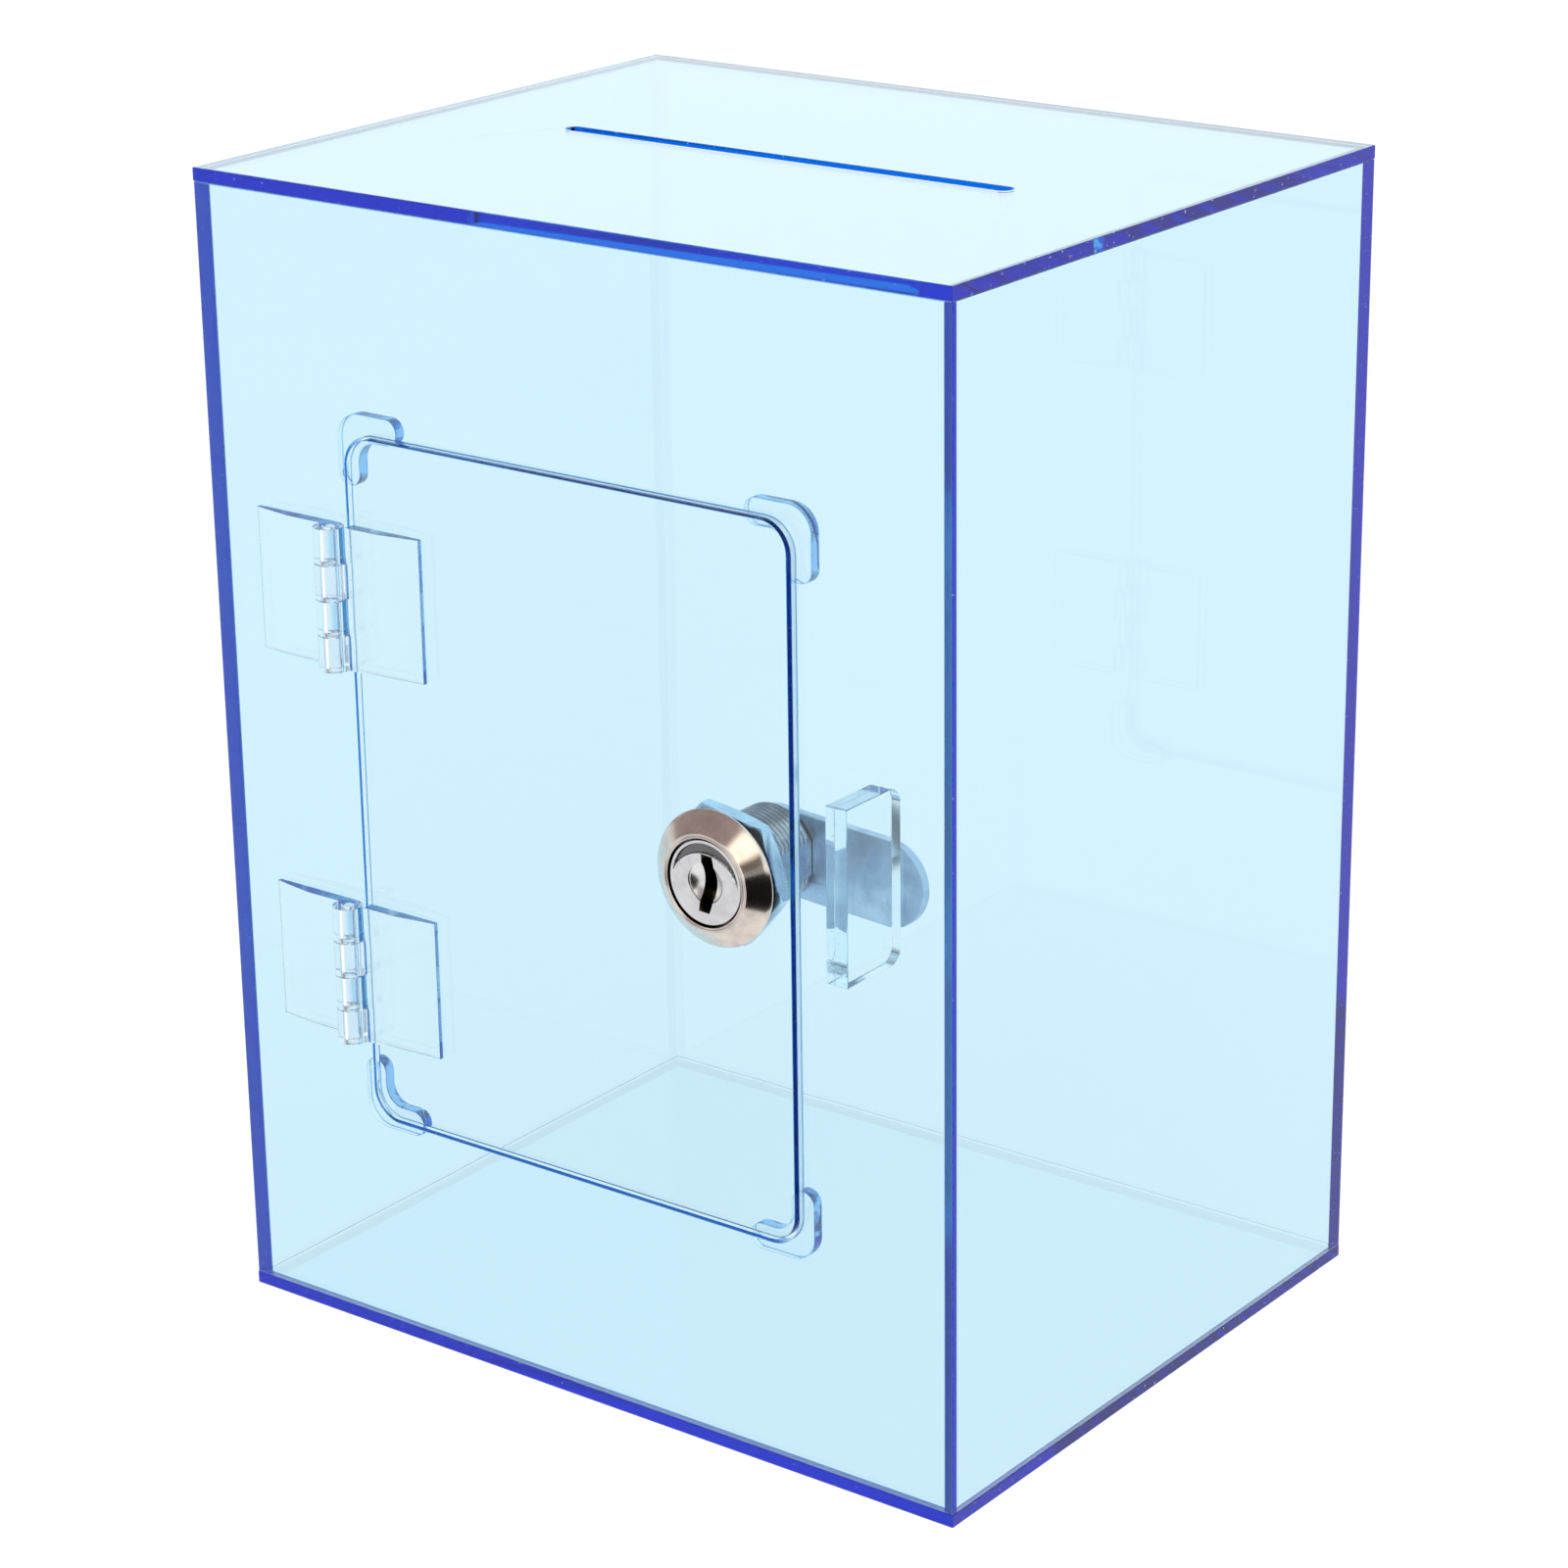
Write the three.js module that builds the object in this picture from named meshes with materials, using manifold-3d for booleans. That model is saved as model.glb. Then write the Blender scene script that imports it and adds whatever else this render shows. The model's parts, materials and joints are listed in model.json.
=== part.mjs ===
// Donation box: a clear tinted acrylic box with a slot in its top, a hinged door in its front wall
// and a cam lock that holds the door shut.
// Millimetres, +Z up, the front faces -Y, and the origin is the middle of the underside.

import * as THREE from 'three';
import { mergeVertices } from 'three/addons/utils/BufferGeometryUtils.js';
import Module from 'manifold-3d';

const wasm = await Module();
wasm.setup();

// ---------- Driving dimensions ----------

const WIDTH = 150;
const DEPTH = 120;
const HEIGHT = 200;
const SHEET = 2.3; // thickness of the acrylic sheet
const BOND = 0.05; // gap at every bonded or seated joint

const SLOT = { length: 90, width: 3.1, x: 0.3, y: -1.4 };

const OPENING = { x: 0.4, z: 100.15, width: 90, height: 120, radius: 5.5 };
const DOOR_GAP = { left: 0.3, right: 0.8, end: 0.45 };
const DOOR_RADIUS = 5;

// The L-shaped stops behind the corners of the opening, set by hand, so each sits a little differently:
// how far the outer corner of each lies outside the corner of the opening.
const STOP = { reachX: 12.7, reachZ: 12.3, arm: 4.5, thickness: 2, outerRadius: 4.5, innerRadius: 3.5 };
const STOPS = [
  { name: 'corner_stop_top_left', sideX: -1, sideZ: 1, outX: 2.4, outZ: 3.2 },
  { name: 'corner_stop_top_right', sideX: 1, sideZ: 1, outX: 3, outZ: 2.45 },
  { name: 'corner_stop_bottom_left', sideX: -1, sideZ: -1, outX: 2.9, outZ: 2.25 },
  { name: 'corner_stop_bottom_right', sideX: 1, sideZ: -1, outX: 2.1, outZ: 2.55 },
];

const KEEPER = { x: 50.4, thickness: 4.05, depth: 14, bottom: 86.5, top: 115.9, radius: 2.75 };

const HINGE = {
  x: -46.4, // the axis, left of the opening's edge
  barrelRadius: 2.6,
  reach: 17.65, // from the axis to a leaf's outer edge
  height: 24.4,
  rootThickness: 2,
  edgeThickness: 0.75,
  taper: 8, // width of the thinning strip along the outer edge
  knuckles: 4,
  knuckleGap: 0.2,
  relief: 0.4, // clearance round the other leaf's knuckles
  pinRadius: 1,
  boreRadius: 1.06,
  pinLength: 24,
};
const HINGE_HEIGHTS = { upper: 132.8, lower: 66.9 };

// The lock is drawn with Y = 0 on the door's outer face and Y growing into the box.
const LOCK = { x: 30, z: 100 };
const TURN_AT_REST = THREE.MathUtils.degToRad(3.7); // the cam and the keyway droop this far
const BEZEL = { radius: 11.35, lip: 0.6, proud: 3, ringRadius: 8.15, chamfer: 0.3 };
const BARREL = { radius: 8, end: 16.6, flatHalf: 7 };
const PLUG = {
  headRadius: 7.15,
  face: 2.7, // how far the face stands in front of the door
  headBack: 1.2,
  radius: 5.6,
  end: 16.75,
  tailEnd: 18.4,
  tailWidth: 7,
  screwHoleRadius: 1.8,
  screwHoleStart: 11,
};
const RUNNING_FIT = 0.05; // radial clearance of the plug in its bore
const HEAD_FIT = 0.1;
const KEYWAY = { bottom: -5, top: 4.6, halfWidth: 1.1, bulgeRight: 2.5, bulgeLeft: -0.5, depth: 11.7 };
const NUT = { acrossFlats: 20.6, thickness: 3, cornerAngle: 50, boreRadius: 8.1 };
const CAM = { halfWidth: 7.2, length: 28.5, thickness: 1.7, hole: 7.2 };
const WASHER = { radius: 5.5, bore: 2, thickness: 0.65 };
const SCREW = {
  headRadius: 3.6,
  headHeight: 2.4,
  headChamfer: 1,
  shankRadius: 1.7,
  shankLength: 7.75,
  recess: [4.2, 1.2, 0.9], // length, depth and width of each arm of the cross
};

const WAFER = { count: 5, first: 0.9, pitch: 1.6, width: 6.8, height: 8.6, thickness: 0.6 };
const WAFER_WINDOW = { width: 3.2, height: 5.2 };
const WAFER_LUG = { reach: 1.5, bottom: 2, top: 2.8, headroom: 0.4 };
const WAFER_PLAY = 0.1;
const SPRING = { x: 4.2, bottom: -2.4, top: 1.85, coilRadius: 0.36, wireRadius: 0.09, turns: 4, pocketRadius: 0.6 };

// ---------- Derived places ----------

const FRONT = -DEPTH / 2;
const FRONT_INSIDE = FRONT + SHEET;
const FLOOR_TOP = SHEET;
const CEILING = HEIGHT - SHEET;
const OPENING_LEFT = OPENING.x - OPENING.width / 2;
const OPENING_RIGHT = OPENING.x + OPENING.width / 2;
const OPENING_BOTTOM = OPENING.z - OPENING.height / 2;
const OPENING_TOP = OPENING.z + OPENING.height / 2;

// ---------- Finishes ----------

const TINTED = { color: 0x9fdcf7, roughness: 0.05, metalness: 0, transparent: true, opacity: 0.35 };
const CLEAR = { color: 0xe8f4fb, roughness: 0.08, metalness: 0, transparent: true, opacity: 0.4 };
const NICKEL = { color: 0xb9ab9f, roughness: 0.3, metalness: 1 };
const BRIGHT = { color: 0xd8d8da, roughness: 0.2, metalness: 1 };
const DARK_STEEL = { color: 0x5f666e, roughness: 0.4, metalness: 1 };
const BRASS = { color: 0xc4a15a, roughness: 0.35, metalness: 1 };

// ---------- Shape helpers ----------

const ROUND_STEPS = 48; // sides of a turned piece
const ARC_STEPS = 5;

function rectangle(x0, z0, x1, z1) {
  const shape = new THREE.Shape();
  shape.moveTo(x0, z0);
  shape.lineTo(x1, z0);
  shape.lineTo(x1, z1);
  shape.lineTo(x0, z1);
  shape.closePath();
  return shape;
}

function roundedRectangle(x0, z0, x1, z1, radius) {
  const shape = new THREE.Shape();
  shape.moveTo(x0 + radius, z0);
  shape.absarc(x1 - radius, z0 + radius, radius, -Math.PI / 2, 0, false);
  shape.absarc(x1 - radius, z1 - radius, radius, 0, Math.PI / 2, false);
  shape.absarc(x0 + radius, z1 - radius, radius, Math.PI / 2, Math.PI, false);
  shape.absarc(x0 + radius, z0 + radius, radius, Math.PI, 1.5 * Math.PI, false);
  return shape;
}

// A circle with a flat on each side, as the lock's barrel and the hole for it have.
function circleWithFlats(radius, flatHalf) {
  const flatAngle = Math.acos(flatHalf / radius);
  const shape = new THREE.Shape();
  shape.absarc(0, 0, radius, flatAngle, Math.PI - flatAngle, false);
  shape.absarc(0, 0, radius, Math.PI + flatAngle, 2 * Math.PI - flatAngle, false);
  shape.closePath();
  return shape;
}

function circle(radius) {
  const shape = new THREE.Shape();
  shape.absarc(0, 0, radius, 0, 2 * Math.PI, false);
  return shape;
}

function extrude(shape, depth, steps) {
  return new THREE.ExtrudeGeometry(shape, { depth, bevelEnabled: false, curveSegments: steps });
}

// A shape drawn in X and Y, from z0 up to z1.
function extrudeUp(shape, z0, z1, steps = ARC_STEPS) {
  return extrude(shape, z1 - z0, steps).translate(0, 0, z0);
}

// A shape drawn in X and Z, from y0 back to y1.
function extrudeBack(shape, y0, y1, steps = ARC_STEPS) {
  return extrude(shape, y1 - y0, steps).rotateX(Math.PI / 2).translate(0, y1, 0);
}

// A shape drawn in Y and Z, from x0 across to x1.
function extrudeAcross(shape, x0, x1, steps = ARC_STEPS) {
  const turn = new THREE.Matrix4().makeBasis(
    new THREE.Vector3(0, 1, 0),
    new THREE.Vector3(0, 0, 1),
    new THREE.Vector3(1, 0, 0),
  );
  return extrude(shape, x1 - x0, steps).applyMatrix4(turn).translate(x0, 0, 0);
}

// A turned piece round the Y axis, from [radius, y] points that start and end on the axis or close up.
function turned(points, steps = ROUND_STEPS) {
  return new THREE.LatheGeometry(points.map(([radius, y]) => new THREE.Vector2(radius, y)), steps);
}

function block(x0, x1, y0, y1, z0, z1) {
  const size = new THREE.BoxGeometry(x1 - x0, y1 - y0, z1 - z0);
  return size.translate((x0 + x1) / 2, (y0 + y1) / 2, (z0 + z1) / 2);
}

function toSolid(geometry) {
  const bare = geometry.clone();
  bare.deleteAttribute('normal');
  bare.deleteAttribute('uv');
  const merged = mergeVertices(bare, 1e-5);
  return new wasm.Manifold(new wasm.Mesh({
    numProp: 3,
    vertProperties: new Float32Array(merged.attributes.position.array),
    triVerts: new Uint32Array(merged.index.array),
  }));
}

function toGeometry(solid) {
  const mesh = solid.getMesh();
  const geometry = new THREE.BufferGeometry();
  geometry.setAttribute('position', new THREE.BufferAttribute(mesh.vertProperties, 3));
  geometry.setIndex(new THREE.BufferAttribute(mesh.triVerts, 1));
  geometry.computeVertexNormals();
  return geometry;
}

function cut(geometry, tools) {
  return toGeometry(tools.reduce((solid, tool) => solid.subtract(toSolid(tool)), toSolid(geometry)));
}

// ---------- Case ----------

function topPanel() {
  const shape = rectangle(-WIDTH / 2, -DEPTH / 2, WIDTH / 2, DEPTH / 2);
  shape.holes.push(roundedRectangle(
    SLOT.x - SLOT.length / 2,
    SLOT.y - SLOT.width / 2,
    SLOT.x + SLOT.length / 2,
    SLOT.y + SLOT.width / 2,
    SLOT.width / 2 - 1e-3,
  ));
  return extrudeUp(shape, CEILING, HEIGHT);
}

function bottomPanel() {
  return extrudeUp(rectangle(-WIDTH / 2, -DEPTH / 2, WIDTH / 2, DEPTH / 2), 0, FLOOR_TOP);
}

// A wall with both upright edges mitred. Its outer face lies along y = 0 and it thickens towards +Y.
function wall(length) {
  const outer = length / 2 - BOND / Math.SQRT2;
  const shape = new THREE.Shape();
  shape.moveTo(-outer, 0);
  shape.lineTo(outer, 0);
  shape.lineTo(outer - SHEET, SHEET);
  shape.lineTo(SHEET - outer, SHEET);
  shape.closePath();
  return extrudeUp(shape, FLOOR_TOP + BOND, CEILING - BOND);
}

function wallWithOpening() {
  const opening = roundedRectangle(
    OPENING_LEFT,
    OPENING_BOTTOM,
    OPENING_RIGHT,
    OPENING_TOP,
    OPENING.radius,
  );
  return cut(wall(WIDTH), [extrudeBack(opening, -1, SHEET + 1)]);
}

// An L with its outer corner at the origin and its arms along +X and +Z.
function cornerStop() {
  const half = STOP.arm / 2;
  const inner = STOP.arm + STOP.innerRadius;
  const shape = new THREE.Shape();
  shape.moveTo(STOP.outerRadius, 0);
  shape.absarc(STOP.reachX - half, half, half, -Math.PI / 2, Math.PI / 2, false);
  shape.absarc(inner, inner, STOP.innerRadius, -Math.PI / 2, Math.PI, true);
  shape.absarc(half, STOP.reachZ - half, half, 0, Math.PI, false);
  shape.absarc(STOP.outerRadius, STOP.outerRadius, STOP.outerRadius, Math.PI, 1.5 * Math.PI, false);
  return shape;
}

// The same L mirrored into the corner that it belongs to.
function stopForCorner(stop) {
  const mirrored = new THREE.Shape(
    cornerStop().getPoints(ARC_STEPS).map((p) => new THREE.Vector2(-stop.sideX * p.x, -stop.sideZ * p.y)),
  );
  return extrudeBack(mirrored, 0, STOP.thickness);
}

function camKeeper() {
  const y0 = FRONT_INSIDE + BOND;
  const y1 = y0 + KEEPER.depth;
  const shape = new THREE.Shape();
  shape.moveTo(y0, KEEPER.bottom);
  shape.absarc(y1 - KEEPER.radius, KEEPER.bottom + KEEPER.radius, KEEPER.radius, -Math.PI / 2, 0, false);
  shape.absarc(y1 - KEEPER.radius, KEEPER.top - KEEPER.radius, KEEPER.radius, 0, Math.PI / 2, false);
  shape.lineTo(y0, KEEPER.top);
  shape.closePath();
  return extrudeAcross(shape, KEEPER.x, KEEPER.x + KEEPER.thickness);
}

// ---------- Door ----------

function doorPanel() {
  const shape = roundedRectangle(
    OPENING_LEFT + DOOR_GAP.left,
    OPENING_BOTTOM + DOOR_GAP.end,
    OPENING_RIGHT - DOOR_GAP.right,
    OPENING_TOP - DOOR_GAP.end,
    DOOR_RADIUS,
  );
  const hole = extrudeBack(circleWithFlats(BARREL.radius + HEAD_FIT, BARREL.flatHalf + HEAD_FIT), -1, SHEET + 1, 12);
  return cut(extrudeBack(shape, 0, SHEET), [hole.translate(LOCK.x, 0, LOCK.z)]);
}

// ---------- Hinges ----------

// A leaf to the left of its axis, which is the origin. Its back lies against the box at y = barrelRadius.
// It keeps its first and third knuckle from the top. Turned half round about Y it is the other leaf.
function hingeLeaf() {
  const back = HINGE.barrelRadius;
  const meet = Math.asin((back - HINGE.rootThickness) / HINGE.barrelRadius);
  const shape = new THREE.Shape();
  shape.moveTo(-HINGE.reach, back);
  shape.lineTo(0, back);
  shape.absarc(0, 0, HINGE.barrelRadius, Math.PI / 2, Math.PI - meet, true);
  shape.lineTo(HINGE.taper - HINGE.reach, back - HINGE.rootThickness);
  shape.lineTo(-HINGE.reach, back - HINGE.edgeThickness);
  shape.closePath();
  const knuckle = HINGE.height / HINGE.knuckles;
  const clear = HINGE.barrelRadius + HINGE.relief;
  const past = 1;
  const tools = [pinCylinder(HINGE.boreRadius, HINGE.height + 2 * past)];
  for (let i = 1; i < HINGE.knuckles; i += 2) {
    const top = HINGE.height / 2 - i * knuckle + HINGE.knuckleGap / 2;
    const isLast = i === HINGE.knuckles - 1;
    const bottom = top - knuckle - (isLast ? past : HINGE.knuckleGap);
    tools.push(block(-clear, clear, -clear, clear, bottom, top));
  }
  return cut(extrudeUp(shape, -HINGE.height / 2, HINGE.height / 2, 12), tools);
}

function pinCylinder(radius, length) {
  return new THREE.CylinderGeometry(radius, radius, length, 16).rotateX(Math.PI / 2);
}

// ---------- Lock ----------

function lockHousing() {
  const seat = -BOND;
  const front = -BEZEL.proud;
  const bore = PLUG.radius + RUNNING_FIT;
  const counterbore = PLUG.headRadius + HEAD_FIT;
  const blank = turned([
    [bore, BARREL.end],
    [bore, -PLUG.headBack],
    [counterbore, -PLUG.headBack],
    [counterbore, front],
    [BEZEL.ringRadius, front],
    [BEZEL.radius - BEZEL.chamfer, seat - BEZEL.lip - BEZEL.chamfer],
    [BEZEL.radius, seat - BEZEL.lip],
    [BEZEL.radius, seat],
    [BARREL.radius, seat],
    [BARREL.radius, BARREL.end],
    [bore, BARREL.end],
  ]);
  const far = 2 * BARREL.radius;
  const flats = [-1, 1].map((side) => {
    const near = BARREL.flatHalf;
    const [x0, x1] = side < 0 ? [-far, -near] : [near, far];
    return block(x0, x1, seat, BARREL.end + 1, -far, far);
  });
  return cut(blank, flats);
}

function lockNut() {
  const cornerRadius = NUT.acrossFlats / Math.sqrt(3);
  const shape = new THREE.Shape();
  for (let i = 0; i < 6; i += 1) {
    const angle = THREE.MathUtils.degToRad(NUT.cornerAngle + 60 * i);
    const point = [cornerRadius * Math.cos(angle), cornerRadius * Math.sin(angle)];
    if (i === 0) {
      shape.moveTo(...point);
    } else {
      shape.lineTo(...point);
    }
  }
  shape.holes.push(circle(NUT.boreRadius));
  const y0 = SHEET + BOND;
  return extrudeBack(shape, y0, y0 + NUT.thickness, ROUND_STEPS / 2);
}

// The keyway as drawn on the plug's face: a tall slot that bows to the right at half height.
function keyway() {
  const middle = (KEYWAY.bottom + KEYWAY.top) / 2;
  const shape = new THREE.Shape();
  shape.moveTo(-KEYWAY.halfWidth, KEYWAY.bottom);
  shape.lineTo(KEYWAY.halfWidth, KEYWAY.bottom);
  shape.quadraticCurveTo(KEYWAY.bulgeRight, middle, KEYWAY.halfWidth, KEYWAY.top);
  shape.lineTo(-KEYWAY.halfWidth, KEYWAY.top);
  shape.quadraticCurveTo(KEYWAY.bulgeLeft, middle, -KEYWAY.halfWidth, KEYWAY.bottom);
  return shape;
}

function waferY(index) {
  return WAFER.first + index * WAFER.pitch;
}

// Wafers push out to the right and to the left by turns.
function waferSide(index) {
  return index % 2 === 0 ? 1 : -1;
}

// The slot across the plug for one wafer, with room for its lug and its spring.
function waferPocket(index) {
  const side = waferSide(index);
  const y = waferY(index);
  const halfY = WAFER.thickness / 2 + WAFER_PLAY;
  const halfX = WAFER.width / 2 + WAFER_PLAY;
  const tall = PLUG.radius + 1;
  const slot = block(-halfX, halfX, y - halfY, y + halfY, -tall, tall);
  const lugEnd = WAFER.width / 2 + WAFER_LUG.reach + WAFER_PLAY;
  const lugX = side > 0 ? [0, lugEnd] : [-lugEnd, 0];
  const lug = block(...lugX, y - halfY, y + halfY, SPRING.bottom, WAFER_LUG.top + WAFER_LUG.headroom);
  const height = SPRING.top - SPRING.bottom + WAFER_PLAY;
  const spring = pinCylinder(SPRING.pocketRadius, height);
  return [slot, lug, spring.translate(side * SPRING.x, y, SPRING.bottom + height / 2)];
}

function lockPlug() {
  const blank = turned([
    [0, -PLUG.face],
    [PLUG.headRadius, -PLUG.face],
    [PLUG.headRadius, -PLUG.headBack - BOND],
    [PLUG.radius, -PLUG.headBack - BOND],
    [PLUG.radius, PLUG.tailEnd],
    [0, PLUG.tailEnd],
  ]);
  const half = PLUG.tailWidth / 2;
  const far = 2 * PLUG.radius;
  const y0 = PLUG.end;
  const y1 = PLUG.tailEnd + 1;
  const tailFlats = [
    block(half, far, y0, y1, -far, far),
    block(-far, -half, y0, y1, -far, far),
    block(-far, far, y0, y1, half, far),
    block(-far, far, y0, y1, -far, -half),
  ];
  const keySlot = extrudeBack(keyway(), -PLUG.face - 1, KEYWAY.depth - PLUG.face);
  const holeLength = y1 - PLUG.screwHoleStart;
  const screwHole = new THREE.CylinderGeometry(PLUG.screwHoleRadius, PLUG.screwHoleRadius, holeLength, 20);
  screwHole.translate(0, PLUG.screwHoleStart + holeLength / 2, 0);
  const pockets = Array.from({ length: WAFER.count }, (unused, index) => waferPocket(index)).flat();
  return cut(blank, [...tailFlats, keySlot, screwHole, ...pockets]);
}

// A flat wafer with a window for the key and a lug that its spring pushes on.
function waferTumbler(index) {
  const side = waferSide(index);
  const halfX = WAFER.width / 2;
  const halfZ = WAFER.height / 2;
  const lugX = halfX + WAFER_LUG.reach;
  const outline = [
    [-halfX, -halfZ],
    [halfX, -halfZ],
    [halfX, WAFER_LUG.bottom],
    [lugX, WAFER_LUG.bottom],
    [lugX, WAFER_LUG.top],
    [halfX, WAFER_LUG.top],
    [halfX, halfZ],
    [-halfX, halfZ],
  ];
  const shape = new THREE.Shape(outline.map(([x, z]) => new THREE.Vector2(side * x, z)));
  const window = WAFER_WINDOW;
  shape.holes.push(rectangle(-window.width / 2, -window.height / 2, window.width / 2, window.height / 2));
  const y = waferY(index);
  return extrudeBack(shape, y - WAFER.thickness / 2, y + WAFER.thickness / 2);
}

class Helix extends THREE.Curve {
  getPoint(t, target = new THREE.Vector3()) {
    const angle = 2 * Math.PI * SPRING.turns * t;
    const length = SPRING.top - SPRING.bottom - 4 * SPRING.wireRadius;
    return target.set(
      SPRING.coilRadius * Math.cos(angle),
      SPRING.coilRadius * Math.sin(angle),
      length * (t - 0.5),
    );
  }
}

function waferSpring(index) {
  const wire = new THREE.Shape();
  wire.absarc(0, 0, SPRING.wireRadius, 0, 2 * Math.PI, false);
  const coil = new THREE.ExtrudeGeometry(wire, {
    steps: SPRING.turns * 8,
    curveSegments: 3,
    extrudePath: new Helix(),
  });
  return coil.translate(waferSide(index) * SPRING.x, waferY(index), (SPRING.bottom + SPRING.top) / 2);
}

// The tongue: a bar with round ends and a square hole for the plug's tail.
function lockCam() {
  const tip = CAM.length - CAM.halfWidth;
  const shape = new THREE.Shape();
  shape.absarc(0, 0, CAM.halfWidth, Math.PI / 2, 1.5 * Math.PI, false);
  shape.absarc(tip, 0, CAM.halfWidth, -Math.PI / 2, Math.PI / 2, false);
  const half = CAM.hole / 2;
  shape.holes.push(rectangle(-half, -half, half, half));
  const y0 = PLUG.end + BOND;
  return extrudeBack(shape, y0, y0 + CAM.thickness, 10);
}

function washerFront() {
  return PLUG.end + CAM.thickness + 2 * BOND;
}

function camWasher() {
  const shape = circle(WASHER.radius);
  shape.holes.push(circle(WASHER.bore));
  return extrudeBack(shape, washerFront(), washerFront() + WASHER.thickness, 12);
}

// A pan-head screw with a cross recess.
function camScrew() {
  const seat = washerFront() + WASHER.thickness + BOND;
  const top = seat + SCREW.headHeight;
  const blank = turned([
    [0, seat - SCREW.shankLength],
    [SCREW.shankRadius, seat - SCREW.shankLength],
    [SCREW.shankRadius, seat],
    [SCREW.headRadius, seat],
    [SCREW.headRadius, top - SCREW.headChamfer],
    [SCREW.headRadius - SCREW.headChamfer, top],
    [0, top],
  ], 24);
  const [long, deep, wide] = SCREW.recess;
  return cut(blank, [
    block(-long / 2, long / 2, top - deep, top + 1, -wide / 2, wide / 2),
    block(-wide / 2, wide / 2, top - deep, top + 1, -long / 2, long / 2),
  ]);
}

// ---------- Assembly ----------

function piece(name, geometry, finish) {
  const mesh = new THREE.Mesh(geometry, new THREE.MeshStandardMaterial(finish));
  mesh.name = name;
  return mesh;
}

function caseGroup() {
  const group = new THREE.Group();
  group.add(piece('top_panel', topPanel(), TINTED));
  group.add(piece('bottom_panel', bottomPanel(), TINTED));

  const front = piece('front_panel', wallWithOpening(), TINTED);
  front.position.y = FRONT;
  const back = piece('back_panel', wall(WIDTH), TINTED);
  back.position.y = -FRONT;
  back.rotation.z = Math.PI;
  const left = piece('left_panel', wall(DEPTH), TINTED);
  left.position.x = -WIDTH / 2;
  left.rotation.z = -Math.PI / 2;
  const right = piece('right_panel', wall(DEPTH), TINTED);
  right.position.x = WIDTH / 2;
  right.rotation.z = Math.PI / 2;
  group.add(front, back, left, right);

  for (const stop of STOPS) {
    const mesh = piece(stop.name, stopForCorner(stop), CLEAR);
    const cornerX = stop.sideX < 0 ? OPENING_LEFT : OPENING_RIGHT;
    const cornerZ = stop.sideZ < 0 ? OPENING_BOTTOM : OPENING_TOP;
    mesh.position.set(
      cornerX + stop.sideX * stop.outX,
      FRONT_INSIDE + BOND,
      cornerZ + stop.sideZ * stop.outZ,
    );
    group.add(mesh);
  }
  group.add(piece('cam_keeper', camKeeper(), CLEAR));
  return group;
}

function hinge(name, height) {
  const group = new THREE.Group();
  group.position.set(HINGE.x, FRONT - BOND - HINGE.barrelRadius, height);
  const doorLeaf = piece(`${name}_hinge_door_leaf`, hingeLeaf(), CLEAR);
  doorLeaf.rotation.y = Math.PI;
  group.add(piece(`${name}_hinge_frame_leaf`, hingeLeaf(), CLEAR));
  group.add(doorLeaf);
  group.add(piece(`${name}_hinge_pin`, pinCylinder(HINGE.pinRadius, HINGE.pinLength), CLEAR));
  return group;
}

function lockGroup() {
  const group = new THREE.Group();
  group.position.set(LOCK.x, FRONT, LOCK.z);
  group.add(piece('lock_housing', lockHousing(), NICKEL));
  group.add(piece('lock_nut', lockNut(), NICKEL));

  const core = new THREE.Group();
  core.rotation.y = TURN_AT_REST;
  core.add(piece('lock_plug', lockPlug(), BRIGHT));
  core.add(piece('lock_cam', lockCam(), DARK_STEEL));
  core.add(piece('cam_washer', camWasher(), BRIGHT));
  core.add(piece('cam_screw', camScrew(), BRIGHT));
  for (let i = 0; i < WAFER.count; i += 1) {
    core.add(piece(`wafer_tumbler_${i + 1}`, waferTumbler(i), BRASS));
    core.add(piece(`wafer_spring_${i + 1}`, waferSpring(i), BRIGHT));
  }
  group.add(core);
  return group;
}

const donationBox = new THREE.Group();
const door = piece('door_panel', doorPanel(), TINTED);
door.position.y = FRONT;
donationBox.add(caseGroup(), door, lockGroup());
for (const [name, height] of Object.entries(HINGE_HEIGHTS)) {
  donationBox.add(hinge(name, height));
}

export default donationBox;
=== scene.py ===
"""Looks for the donation box: tinted acrylic sheet, clear plastic hinges and a nickel-plated cam lock.

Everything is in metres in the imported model's frame: +Z up, the front facing -Y, origin under the middle.
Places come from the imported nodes' boxes; the small sizes that only show in the looks are named below.
"""
import json
import math

import bmesh
import bpy
from mathutils import Matrix, Vector
from mathutils.geometry import tessellate_polygon


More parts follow.
